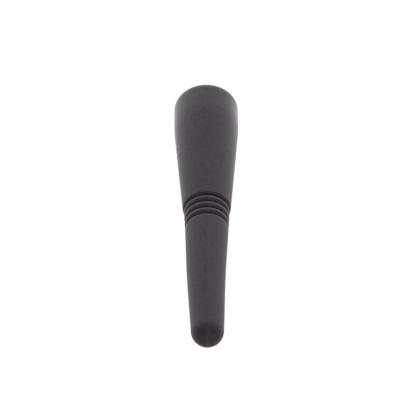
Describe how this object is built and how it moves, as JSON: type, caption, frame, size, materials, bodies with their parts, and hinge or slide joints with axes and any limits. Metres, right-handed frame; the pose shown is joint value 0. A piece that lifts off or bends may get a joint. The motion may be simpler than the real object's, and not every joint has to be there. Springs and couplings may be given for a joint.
{
  "type": "bar muddler",
  "caption": "Moulded bar muddler with a wide toothed head, a tapering ringed grip and a ball-rounded tip, for crushing fruit, herbs and ice in a glass.",
  "frame": {"origin": "centre of the wide flat end, on the plane that the muddler stands on", "axes": "+Z along the centre line from the wide end to the rounded tip; X and Y across, with the mould's parting plane close to the YZ plane"},
  "size_m": [0.0406, 0.0406, 0.21],
  "materials": {
    "handle_plastic": "fine spark-eroded texture, matte charcoal black",
    "plug_plastic": "matte charcoal black, slightly smoother than the handle",
    "seal_rubber": "moulded nitrile rubber, satin black"
  },
  "bodies": {
    "root": {"handle_body": "handle_plastic", "head_plug": "plug_plastic", "plug_seal": "seal_rubber"}
  },
  "joints": []
}
